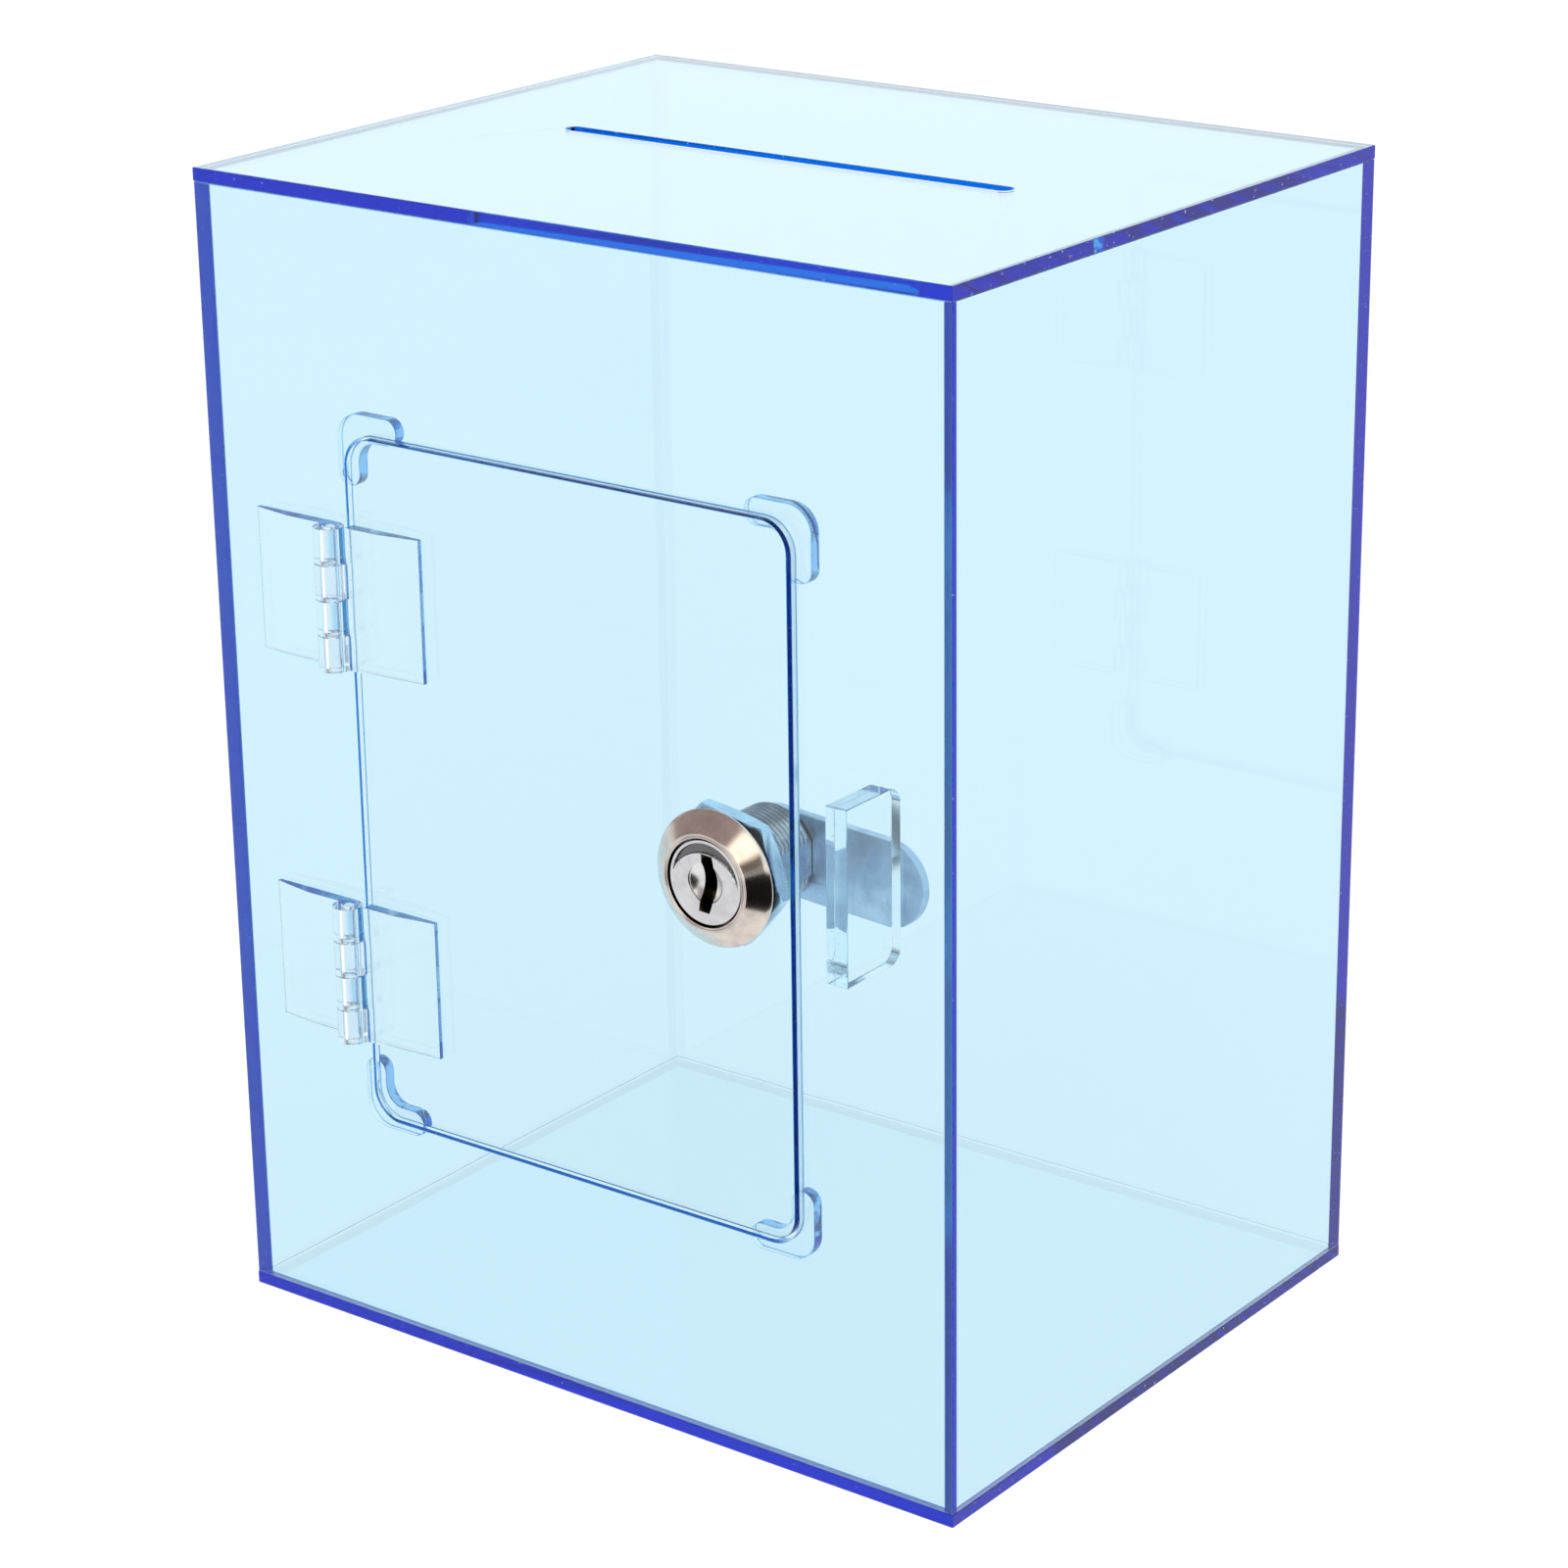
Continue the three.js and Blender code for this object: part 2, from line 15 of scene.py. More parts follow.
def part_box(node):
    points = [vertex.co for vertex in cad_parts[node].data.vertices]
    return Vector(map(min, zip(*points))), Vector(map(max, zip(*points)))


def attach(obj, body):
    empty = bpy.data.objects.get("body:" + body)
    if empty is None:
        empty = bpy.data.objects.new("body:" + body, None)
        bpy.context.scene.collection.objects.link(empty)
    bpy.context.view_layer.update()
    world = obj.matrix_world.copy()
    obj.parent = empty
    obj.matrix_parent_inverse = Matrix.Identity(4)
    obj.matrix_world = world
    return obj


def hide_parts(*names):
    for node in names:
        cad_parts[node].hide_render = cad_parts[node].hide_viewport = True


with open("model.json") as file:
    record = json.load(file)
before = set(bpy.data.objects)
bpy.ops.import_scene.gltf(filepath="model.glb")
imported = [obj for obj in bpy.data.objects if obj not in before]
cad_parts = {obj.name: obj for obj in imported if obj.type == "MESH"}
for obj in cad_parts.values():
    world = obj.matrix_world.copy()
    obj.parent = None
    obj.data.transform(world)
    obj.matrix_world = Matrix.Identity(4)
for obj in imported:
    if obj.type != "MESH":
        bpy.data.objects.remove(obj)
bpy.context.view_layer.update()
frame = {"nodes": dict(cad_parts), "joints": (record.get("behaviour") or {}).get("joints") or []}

MM = 0.001
LOW, HIGH = 0, 1

# ---------- Sizes and finishes that only the looks use ----------

EDGE = 0.16 * MM  # rounding along the edges of cut sheet
EDGE_STEPS = 3
POLISHED = 0.1  # how rough a polished edge is, next to 1 for a sawn one
ROUTED = 0.35  # and an edge that a router cut, whose colour is painted blue for the light that runs to it inside the sheet
SCRAPED = 0.6  # and the opening's edge, scraped matt after it was routed
# The painted blue on routed and scraped edges (the door's, the corner stops' and all the front panel's),
# which stands for the light that runs inside the sheet to them
ROUTED_PAINTED_BLUE = (0.32, 0.62, 0.95, 1)
HOLLOW_PAINTED_SHADE = (0.03, 0.03, 0.03)  # the painted shade laid in a metal part's hollows
BONDED = 0.07 * MM  # bonded pieces reach this far across the CAD's gap, so that light passes the joint
ARC_STEP = math.radians(4)
SHARP = math.radians(35)  # edges sharper than this stay sharp in the shading

OPENING_RADIUS = 5.5 * MM
DOOR_RADIUS = 5 * MM
DOOR_HOLE_RADIUS = 8.1 * MM
DOOR_HOLE_FLAT = 7.1 * MM

STOP_ARM = 4.5 * MM
STOP_OUTER = 4.5 * MM
STOP_INNER = 3.5 * MM
KEEPER_RADIUS = 2.75 * MM

LEAF_ROOT = 2 * MM
LEAF_EDGE = 0.75 * MM
LEAF_TAPER = 8 * MM
LEAF_RELIEF = 0.4 * MM
LEAF_ROUNDING = 0.09 * MM
PIN_BORE = 1.06 * MM
PIN_ROUNDING = 0.15 * MM
KNUCKLES = 4
KNUCKLE_GAP = 0.2 * MM

BEZEL_LIP = 0.6 * MM
RING_RADIUS = 8.15 * MM
BORE_RADIUS = 5.65 * MM
COUNTERBORE = 7.32 * MM
HEAD_DEPTH = 1.75 * MM
BARREL_RADIUS = 8 * MM
BARREL_FLAT = 7 * MM
RING_PITCH = 0.16 * MM  # between the lathe rings
THREAD_PITCH = 1.0 * MM
THREAD_DEPTH = 0.5 * MM

NUT_CORNER_ANGLE = math.radians(50)
NUT_ACROSS_FLATS = 20.6 * MM
NUT_BORE = 8.1 * MM
NUT_CHAMFER = 0.55 * MM

PLUG_HEAD = 7.0 * MM
PLUG_TAIL = 4.9 * MM  # before it is cut to a square
PLUG_SQUARE = 3.5 * MM  # half the width of the square
DIMPLE_RADIUS = 3.3 * MM
DIMPLE_DEPTH = 1.1 * MM
CRESCENT = {"outer": 6.4 * MM, "inner": 7.0 * MM, "drop": 2.2 * MM, "depth": 0.5 * MM}
KEYWAY = {"bottom": -5 * MM, "top": 4.6 * MM, "half": 1.05 * MM, "right": 2.7 * MM, "left": -0.5 * MM}
KEYWAY_DEPTH = 9 * MM
SHADED_FROM = 1.25 * MM  # how deep in the keyway its walls are painted black, as shade with grease

CAM_TURN = math.radians(3.7)  # the cam and the keyway droop this far at rest
CAM_HALF_WIDTH = 7.2 * MM
CAM_REACH = 28.5 * MM
CAM_HOLE = 3.6 * MM  # half the width of its square hole

SCREW_HEAD = 2.4 * MM  # height of the head
SCREW_SHANK = 1.7 * MM
WASHER_HOLE = 2 * MM

FLOOR_GLOW = 0.965


# ---------- Camera ----------

CAMERA_PLACE = Vector((421.71, -555.94, 342.82)) * MM
CAMERA_AZIMUTH = math.radians(37.321)
CAMERA_ELEVATION = math.radians(19.796)
CAMERA_ROLL = math.radians(-0.807)
CAMERA_LENS_MM = 99.72
SENSOR_MM = 36


def make_camera():
    data = bpy.data.cameras.new("camera")
    data.lens = CAMERA_LENS_MM
    data.sensor_width = SENSOR_MM
    data.clip_start = 0.01
    camera = bpy.data.objects.new("camera", data)
    bpy.context.scene.collection.objects.link(camera)
    aim = Matrix.Rotation(CAMERA_AZIMUTH, 4, "Z") @ Matrix.Rotation(math.pi / 2 - CAMERA_ELEVATION, 4, "X")
    camera.matrix_world = (
        Matrix.Translation(CAMERA_PLACE) @ aim @ Matrix.Rotation(CAMERA_ROLL, 4, "Z")
    )
    bpy.context.scene.camera = camera


# ---------- Node helpers ----------


class Nodes:
    """A material's or world's node tree, with short ways to add and link nodes."""

    def __init__(self, tree):
        self.tree = tree
        tree.nodes.clear()

    def add(self, kind, inputs=(), **settings):
        node = self.tree.nodes.new(kind)
        for key, value in settings.items():
            setattr(node, key, value)
        for key, value in dict(inputs).items():
            self.feed(node, key, value)
        return node

    def feed(self, node, key, value):
        socket = node.inputs[key]
        if isinstance(value, bpy.types.NodeSocket):
            self.tree.links.new(value, socket)
        else:
            socket.default_value = value

    def math(self, operation, a, b=0.0):
        node = self.add("ShaderNodeMath", operation=operation)
        self.feed(node, 0, a)
        self.feed(node, 1, b)
        return node.outputs[0]

    def vector(self, operation, a, b=(0, 0, 0)):
        node = self.add("ShaderNodeVectorMath", operation=operation)
        self.feed(node, 0, a)
        self.feed(node, 1, b)
        return node.outputs["Value" if operation in ("LENGTH", "DOT_PRODUCT") else "Vector"]

    def ramp(self, value, low, high, to_low=0.0, to_high=1.0):
        """value's stretch from low to high, eased onto to_low to to_high."""
        node = self.add("ShaderNodeMapRange", interpolation_type="SMOOTHSTEP")
        for key, number in zip(range(5), (value, low, high, to_low, to_high)):
            self.feed(node, key, number)
        return node.outputs[0]

    def mix(self, factor, a, b):
        node = self.add("ShaderNodeMix", data_type="RGBA")
        for key, value in zip((0, 6, 7), (factor, a, b)):
            self.feed(node, key, value)
        return node.outputs[2]

    def position(self):
        return self.add("ShaderNodeTexCoord").outputs["Object"]

    def noise(self, place, scale, detail=2.0, roughness=0.5):
        node = self.add(
            "ShaderNodeTexNoise",
            {"Vector": place, "Scale": scale, "Detail": detail, "Roughness": roughness},
        )
        return node.outputs[0]

    def bump(self, height, distance, before=None):
        node = self.add("ShaderNodeBump", {"Height": height, "Distance": distance, "Strength": 1.0})
        if before is not None:
            self.feed(node, "Normal", before)
        return node.outputs[0]


def new_material(name):
    material = bpy.data.materials.new(name)
    material.use_nodes = True
    return material, Nodes(material.node_tree)


# ---------- Materials ----------


def plastic(name, absorbed, ior, haze, wave, saw, speckle=0.0):
    """Clear plastic. absorbed is what a metre of it takes from red, green and blue; haze and saw are
    the roughness of its faces and of its cut edges; wave is the height of the sheet's slow waviness;
    speckle is how milky the saw's pits are."""
    material, n = new_material(name)
    place = n.position()
    cut = n.add("ShaderNodeAttribute", attribute_name="cut").outputs["Fac"]
    smears = n.ramp(n.noise(place, 24, 4), 0.5, 0.8, haze * 0.4, haze)
    grit = n.noise(place, 900, 3, 0.6)
    edge_roughness = n.add("ShaderNodeMapRange", {0: grit, 3: saw * 0.6, 4: saw * 1.4}).outputs[0]
    roughness = n.add("ShaderNodeMix", {0: cut, 2: smears, 3: edge_roughness}).outputs[0]
    waves = n.bump(n.noise(place, 14, 1), wave)
    marks = n.bump(n.math("MULTIPLY", grit, cut), 0.003 * MM, waves)
    frost = n.ramp(cut, 0.4, 0.9)
    pits = n.ramp(n.noise(place, 1700, 2), 0.70, 0.73)
    speckled = n.math("MULTIPLY", pits, n.ramp(cut, 0.0, 0.05, 0.0, speckle))
    milky = n.math("MAXIMUM", n.math("MULTIPLY", frost, 0.6), speckled)
    # Painted light: routed and scraped edges get a blue base colour, standing in for the light that runs
    # inside the sheet to them.
    routed = n.math("MULTIPLY", n.ramp(cut, 0.15, 0.3), n.ramp(cut, 0.97, 0.9))
    shader = n.add(
        "ShaderNodeBsdfPrincipled",
        {
            "Base Color": n.mix(routed, (1, 1, 1, 1), ROUTED_PAINTED_BLUE),
            "Transmission Weight": n.math("SUBTRACT", 1.0, milky),
            "IOR": ior,
            "Roughness": roughness,
            "Normal": marks,
        },
    )
    density = max(absorbed)
    volume = n.add(
        "ShaderNodeVolumeAbsorption",
        {"Color": [1 - a / density for a in absorbed] + [1], "Density": density},
    )
    n.add("ShaderNodeOutputMaterial", {"Surface": shader.outputs[0], "Volume": volume.outputs[0]})
    return material


def metal(name, color, dark, roughness, grain, turned_about=None, ring_height=0.0, cast=0.0, shade=HOLLOW_PAINTED_SHADE):
    """Plated metal. grain is the scale of its mottling; turned_about is a point on the Y-wise axis that
    lathe rings run round, ring_height deep; cast is the height of a rough casting's skin; shade is the
    painted shade laid in its hollows, as far as the hollow attribute says."""
    material, n = new_material(name)
    place = n.position()
    mottle = n.noise(place, grain, 4, 0.6)
    fine = n.noise(place, grain * 9, 2)
    tone = n.mix(n.ramp(mottle, 0.35, 0.7), color + (1,), dark + (1,))
    # Painted shade: the hollow attribute mixes the shade colour in where shade falls, in grooves, bores and
    # against other parts.
    hollow = n.add("ShaderNodeAttribute", attribute_name="hollow").outputs["Fac"]
    tone = n.mix(hollow, tone, shade + (1,))
    rough = n.math("MULTIPLY_ADD", fine, roughness * 0.6)
    rough.node.inputs[2].default_value = roughness * 0.7
    normal = None
    if turned_about is not None:
        flat = n.vector("MULTIPLY", n.vector("SUBTRACT", place, tuple(turned_about)), (1, 0, 1))
        rings = n.math("SINE", n.math("MULTIPLY", n.vector("LENGTH", flat), 2 * math.pi / RING_PITCH))
        uneven = n.math("MULTIPLY", rings, n.noise(place, 300, 2))
        normal = n.bump(uneven, ring_height)
    if cast:
        normal = n.bump(n.noise(place, 1500, 3), cast, normal)
    shader = n.add(
        "ShaderNodeBsdfPrincipled",
        {"Base Color": tone, "Metallic": 1.0, "Roughness": rough},
    )
    if normal is not None:
        n.feed(shader, "Normal", normal)
    n.add("ShaderNodeOutputMaterial", {"Surface": shader.outputs[0]})
    return material


def floor_material():
    """A white light table, which shines through the box from below and keeps its shadow faint."""
    material, n = new_material("floor_paper")
    place = n.position()
    tone = n.mix(n.noise(place, 8, 3), (0.065, 0.065, 0.065, 1), (0.075, 0.075, 0.075, 1))
    shader = n.add(
        "ShaderNodeBsdfPrincipled",
        {
            "Base Color": tone,
            "Roughness": 0.9,
            "Specular IOR Level": 0.0,
            "Emission Color": (1, 1, 1, 1),
            "Emission Strength": FLOOR_GLOW,
        },
    )
    n.add("ShaderNodeOutputMaterial", {"Surface": shader.outputs[0]})
    return material


# ---------- Mesh helpers ----------


def sheet_object(name, bm, material, body, node):
    """A piece of cut sheet: truly flat faces, and smoothly rounded edges between them."""
    piece = loose(bm, name)
    weigh_normals(piece, SHARP)
    return tie(piece, material, body, node)


def weigh_normals(piece, sharp):
    """Makes large flat faces keep their own direction where they meet small rounded ones."""
    piece.data.set_sharp_from_angle(angle=sharp)
    weigh = piece.modifiers.new("weigh", "WEIGHTED_NORMAL")
    weigh.weight = 100
    weigh.keep_sharp = True
    apply_modifiers(piece)


def new_object(name, bm, material, body, node, sharp=SHARP):
    return dress(loose(bm, name), material, body, node, sharp)


def dress(piece, material, body, node, sharp=SHARP):
    """Smooths a finished piece between its sharp edges, with its flat faces kept flat."""
    piece.data.shade_smooth()
    weigh_normals(piece, sharp)
    return tie(piece, material, body, node)


def tie(piece, material, body, node):
    """Gives a finished piece its material and its body, and hides the CAD node that it stands for."""
    mesh = piece.data
    mesh.materials.clear()
    mesh.materials.append(material)
    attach(piece, body)
    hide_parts(node)
    return piece


def arc(center, radius, start, end, hollow=False):
    """One rounded stretch of an outline, as a function of how far the outline is inset."""

    def points(inset):
        size = radius + inset if hollow else radius - inset
        count = max(2, math.ceil(abs(end - start) / ARC_STEP))
        angles = [start + (end - start) * i / count for i in range(count + 1)]
        return [(center[0] + size * math.cos(a), center[1] + size * math.sin(a)) for a in angles]

    return points


def arcs(*stretches):
    return lambda inset, depth: [p for stretch in stretches for p in stretch(inset)]


def rounded(low, high, radii):
    """A rectangle with a rounding radius for each corner, from the lower left one round to the
    upper left one."""
    (x0, z0), (x1, z1) = low, high
    corners = [(x0, z0, 1, 1), (x1, z0, -1, 1), (x1, z1, -1, -1), (x0, z1, 1, -1)]
    starts = [math.pi, 1.5 * math.pi, 0, math.pi / 2]
    return arcs(*[
        arc((x + sx * r, z + sz * r), r, start, start + math.pi / 2)
        for (x, z, sx, sz), r, start in zip(corners, radii, starts)
    ])


def rectangle(low, high, mitre=0.0):
    """A sharp rectangle. With mitre 1 its upright edges come in by as much as it is deep."""

    def points(inset, depth):
        x0, x1 = low[0] + inset + mitre * depth, high[0] - inset - mitre * depth
        z0, z1 = low[1] + inset, high[1] - inset
        return [(x0, z0), (x1, z0), (x1, z1), (x0, z1)]

    return points


def sheet_mesh(outline, holes, thickness, place, edge=EDGE, cut_finish=POLISHED, frosted_above=None):
    """A flat plate with softly rounded edges. outline(inset, depth) and each hole give loops of points,
    and place(u, v, depth) puts a point in the row frame. The cut attribute says how rough a face was
    left: 0 on the sheet's own faces, cut_finish on its edges, and 1 on edges higher than frosted_above."""
    quarter = [i * math.pi / 2 / EDGE_STEPS for i in range(EDGE_STEPS + 1)]
    near = [(edge * (1 - math.sin(a)), edge * (1 - math.cos(a))) for a in quarter]
    stations = near + [(inset, thickness - depth) for inset, depth in reversed(near)]
    bm = bmesh.new()
    cut = bm.faces.layers.float.new("cut")
    loops = []
    for loop, grow in [(outline, 1)] + [(hole, -1) for hole in holes]:
        rings = [
            [bm.verts.new(place(u, v, depth)) for u, v in loop(grow * inset, depth)]
            for inset, depth in stations
        ]
        for near_ring, far_ring in zip(rings, rings[1:]):
            bridge(bm, near_ring, far_ring)
        loops.append((rings[0], rings[-1]))
    for face in bm.faces:
        face.smooth = True
        sawn = frosted_above is not None and face.calc_center_median().z > frosted_above
        face[cut] = 1.0 if sawn else cut_finish
    for side in (0, 1):
        rims = [pair[side] for pair in loops]
        flat = [v for rim in rims for v in rim]
        for triangle in tessellate_polygon([[v.co for v in rim] for rim in rims]):
            bm.faces.new([flat[i] for i in triangle])
    return bm


def bridge(bm, first, second):
    count = len(first)
    for i in range(count):
        j = (i + 1) % count
        bm.faces.new([first[i], first[j], second[j], second[i]])


def revolve(profile, axis_at, steps=96, shape=None):
    """A turned piece about a Y-wise axis through axis_at, from (radius, y) points. A profile that
    doesn't start and end on the axis closes up on itself. shape(radius, y, angle) may move a point."""
    bm = bmesh.new()
    rings = []
    for radius, y in profile:
        if radius < 1e-9:
            rings.append([bm.verts.new((axis_at[0], y, axis_at[2]))])
            continue
        ring = []
        for i in range(steps):
            angle = 2 * math.pi * i / steps
            point = (radius * math.cos(angle), y, radius * math.sin(angle))
            if shape is not None:
                point = shape(radius, y, angle)
            ring.append(bm.verts.new((axis_at[0] + point[0], point[1], axis_at[2] + point[2])))
        rings.append(ring)
    pairs = list(zip(rings, rings[1:]))
    if len(rings[0]) > 1:
        pairs.append((rings[-1], rings[0]))
    for first, second in pairs:
        if len(first) == 1 or len(second) == 1:
            tip, rim = (first[0], second) if len(first) == 1 else (second[0], first)
            for i in range(len(rim)):
                bm.faces.new([tip, rim[i], rim[(i + 1) % len(rim)]])
        else:
            bridge(bm, first, second)
    return bm


def mark_painted_shade(piece, depth_of):
    """Stores for each point, from 0 to 1, how much painted shade the material lays on it in grooves and
    hollows.
    """
    layer = piece.data.attributes.new("hollow", "FLOAT", "POINT")
    for point, value in zip(piece.data.vertices, layer.data):
        value.value = depth_of(point.co)


def loose(bm, name="tool"):
    """An object from a mesh in the making, with its faces turned outwards."""
    bmesh.ops.recalc_face_normals(bm, faces=bm.faces)
    mesh = bpy.data.meshes.new(name)
    bm.to_mesh(mesh)
    bm.free()
    piece = bpy.data.objects.new(name, mesh)
    bpy.context.scene.collection.objects.link(piece)
    return piece


def apply_modifiers(piece):
    depsgraph = bpy.context.evaluated_depsgraph_get()
    mesh = bpy.data.meshes.new_from_object(piece.evaluated_get(depsgraph))
    piece.modifiers.clear()
    piece.data = mesh
    return piece


def carve(piece, tools, operation="DIFFERENCE"):
    """Cuts the tools out of piece, or keeps only what they share, and removes the tools."""
    for tool in tools:
        modifier = piece.modifiers.new("carve", "BOOLEAN")
        modifier.operation = operation
        modifier.solver = "EXACT"
        modifier.object = tool
    apply_modifiers(piece)
    for tool in tools:
        bpy.data.objects.remove(tool)
    return piece


def soften(piece, width, segments=2, angle=math.radians(40)):
    """Rounds the sharp edges."""
    modifier = piece.modifiers.new("soften", "BEVEL")
    modifier.width = width
    modifier.segments = segments
    modifier.limit_method = "ANGLE"
    modifier.angle_limit = angle
    modifier.harden_normals = False
    return apply_modifiers(piece)


def block(low, high):
    bm = bmesh.new()
    bmesh.ops.create_cube(bm, size=1.0)
    size = Vector(high) - Vector(low)
    middle = (Vector(high) + Vector(low)) / 2
    for v in bm.verts:
        v.co = Vector(a * b for a, b in zip(v.co, size)) + middle
    return bm


def extrude_outline(points, place, depths):
    """A prism over a closed outline of (u, v) points, with a ring of points at each depth."""
    bm = bmesh.new()
    rings = [[bm.verts.new(place(u, v, depth)) for u, v in points] for depth in depths]
    for first, second in zip(rings, rings[1:]):
        bridge(bm, first, second)
    for ring in (rings[0], rings[-1]):
        bm.faces.new(ring)
    return bm


def turn(piece, angle, axis_at):
    """Turns a mesh about the Y-wise axis through axis_at."""
    spin = Matrix.Translation(axis_at) @ Matrix.Rotation(angle, 4, "Y") @ Matrix.Translation(-axis_at)
    piece.data.transform(spin)
    return piece


# ---------- Case and door ----------


def make_flat_panels(acrylic):
    for node in ("top_panel", "bottom_panel"):
        low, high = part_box(node)
        holes = []
        if node == "top_panel":
            holes.append(slot_outline())
        place = lambda u, v, depth, top=high.z: Vector((u, v, top - depth))
        bm = sheet_mesh(rectangle(low.xy, high.xy), holes, high.z - low.z, place)
        sheet_object(f"acrylic_{node}", bm, acrylic, "case", node)


def hole_bounds(node):
    """The box of a panel's hole, from the points of its mesh that lie away from its rim."""
    low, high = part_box(node)
    points = [v.co for v in frame["nodes"][node].data.vertices]
    size = high - low
    flat = min(range(3), key=lambda i: size[i])
    axes = [i for i in range(3) if i != flat]
    inner = [
        p for p in points
        if all(low[i] + 0.1 * size[i] < p[i] < high[i] - 0.1 * size[i] for i in axes)
    ]
    return [(min(p[i] for p in inner), max(p[i] for p in inner)) for i in axes]


def slot_outline():
    (x0, x1), (y0, y1) = hole_bounds("top_panel")
    radius = (y1 - y0) / 2
    return rounded((x0, y0), (x1, y1), [radius] * 4)


def make_walls(acrylic):
    front_low, front_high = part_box("front_panel")
    right_low, right_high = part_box("right_panel")
    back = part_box("back_panel")[HIGH].y
    sheet = front_high.y - front_low.y
    (x0, x1), (z0, z1) = hole_bounds("front_panel")
    opening = rounded((x0, z0), (x1, z1), [OPENING_RADIUS] * 4)
    foot = front_low.z - BONDED
    closed = BONDED / 2
    across = rectangle((front_low.x, foot), (front_high.x, front_high.z), mitre=1)
    behind = rectangle((front_low.x - closed, foot), (front_high.x + closed, front_high.z), mitre=1)
    along = rectangle((right_low.y, foot), (right_high.y + closed, right_high.z), mitre=1)
    left_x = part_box("left_panel")[LOW].x
    right_x = right_high.x
    front_y = front_low.y
    sides = {
        "front_panel": (across, [opening], lambda u, v, d: Vector((u, front_y + d, v))),
        "back_panel": (behind, [], lambda u, v, d: Vector((u, back - d, v))),
        "left_panel": (along, [], lambda u, v, d: Vector((left_x + d, u, v))),
        "right_panel": (along, [], lambda u, v, d: Vector((right_x - d, u, v))),
    }
    for node, (outline, holes, place) in sides.items():
        frost_line = front_high.z - EDGE if node in ("back_panel", "left_panel") else None
        finish = SCRAPED if holes else POLISHED
        bm = sheet_mesh(outline, holes, sheet, place, cut_finish=finish, frosted_above=frost_line)
        sheet_object(f"acrylic_{node}", bm, acrylic, "case", node)


def lock_axis():
    low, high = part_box("lock_housing")
    return Vector(((low.x + high.x) / 2, 0, (low.z + high.z) / 2))


def make_door(acrylic):
    low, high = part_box("door_panel")
    outline = rounded((low.x, low.z), (high.x, high.z), [DOOR_RADIUS] * 4)
    axis = lock_axis()
    flat = math.acos(DOOR_HOLE_FLAT / DOOR_HOLE_RADIUS)
    hole = arcs(
        arc((axis.x, axis.z), DOOR_HOLE_RADIUS, flat, math.pi - flat),
        arc((axis.x, axis.z), DOOR_HOLE_RADIUS, math.pi + flat, 2 * math.pi - flat),
    )
    place = lambda u, v, d: Vector((u, low.y + d, v))
    bm = sheet_mesh(outline, [hole], high.y - low.y, place, cut_finish=ROUTED)
    sheet_object("acrylic_door_panel", bm, acrylic, "door", "door_panel")


def make_corner_stops(acrylic):
    """L-shaped pieces with round ends; the outer corner of each points away from the door."""
    half = STOP_ARM / 2
    quarter = math.pi / 2
    for vertical, sz in (("top", 1), ("bottom", -1)):
        for side, sx in (("left", -1), ("right", 1)):
            node = f"corner_stop_{vertical}_{side}"
            low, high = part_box(node)
            wide, tall = high.x - low.x, high.z - low.z
            inner = STOP_ARM + STOP_INNER
            outline = arcs(
                arc((wide - half, half), half, -quarter, quarter),
                arc((inner, inner), STOP_INNER, -quarter, -2 * quarter, hollow=True),
                arc((half, tall - half), half, 0, 2 * quarter),
                arc((STOP_OUTER, STOP_OUTER), STOP_OUTER, 2 * quarter, 3 * quarter),
            )
            corner = (high.x if sx > 0 else low.x, high.z if sz > 0 else low.z)
            front = low.y - BONDED
            place = lambda u, v, d: Vector((corner[0] - sx * u, front + d, corner[1] - sz * v))
            bm = sheet_mesh(outline, [], high.y - front, place, cut_finish=ROUTED)
            sheet_object(f"acrylic_{node}", bm, acrylic, "case", node)


def make_keeper(clear):
    low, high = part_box("cam_keeper")
    square = 1.5 * EDGE
    radii = [square, KEEPER_RADIUS, KEEPER_RADIUS, square]
    outline = rounded((low.y - BONDED, low.z), (high.y, high.z), radii)
    bm = sheet_mesh(outline, [], high.x - low.x, lambda u, v, d: Vector((low.x + d, u, v)))
    sheet_object("clear_cam_keeper", bm, clear, "case", "cam_keeper")


# ---------- Hinges ----------


def hinge_leaf(name, axis, reach, height, radius, side, first_cut):
    """A leaf on one side of its axis: a thinning plate that runs into its knuckles. Every second
    knuckle is cut away for the other leaf, from the first_cut-th on."""
    meet = math.asin((radius - LEAF_ROOT) / radius)
    sweep = math.pi * 1.5 + meet
    count = 72
    points = [(-reach, radius + BONDED), (0, radius + BONDED)]
    points += [
        (radius * math.cos(a), radius * math.sin(a))
        for a in (math.pi / 2 - sweep * i / count for i in range(1, count + 1))
    ]
    points += [(LEAF_TAPER - reach, radius - LEAF_ROOT), (-reach, radius - LEAF_EDGE)]
    place = lambda u, v, d: Vector((axis.x + side * u, axis.y + v, d))
    bm = extrude_outline(points, place, (axis.z - height / 2, axis.z + height / 2))
    leaf = loose(bm, name)
    clear = radius + LEAF_RELIEF
    knuckle = height / KNUCKLES
    tools = []
    crown = axis.z + height / 2
    for i in range(first_cut, KNUCKLES, 2):
        top = crown - i * knuckle + (KNUCKLE_GAP / 2 if i else MM)
        bottom = crown - (i + 1) * knuckle - (KNUCKLE_GAP / 2 if i < KNUCKLES - 1 else MM)
        low = (axis.x - clear, axis.y - clear, bottom)
        high = (axis.x + clear, axis.y + clear, top)
        tools.append(loose(block(low, high)))
    bore = bmesh.new()
    bmesh.ops.create_cone(
        bore, cap_ends=True, segments=40, radius1=PIN_BORE, radius2=PIN_BORE, depth=2 * height,
        matrix=Matrix.Translation(axis),
    )
    tools.append(loose(bore))
    carve(leaf, tools)
    return soften(leaf, LEAF_ROUNDING)


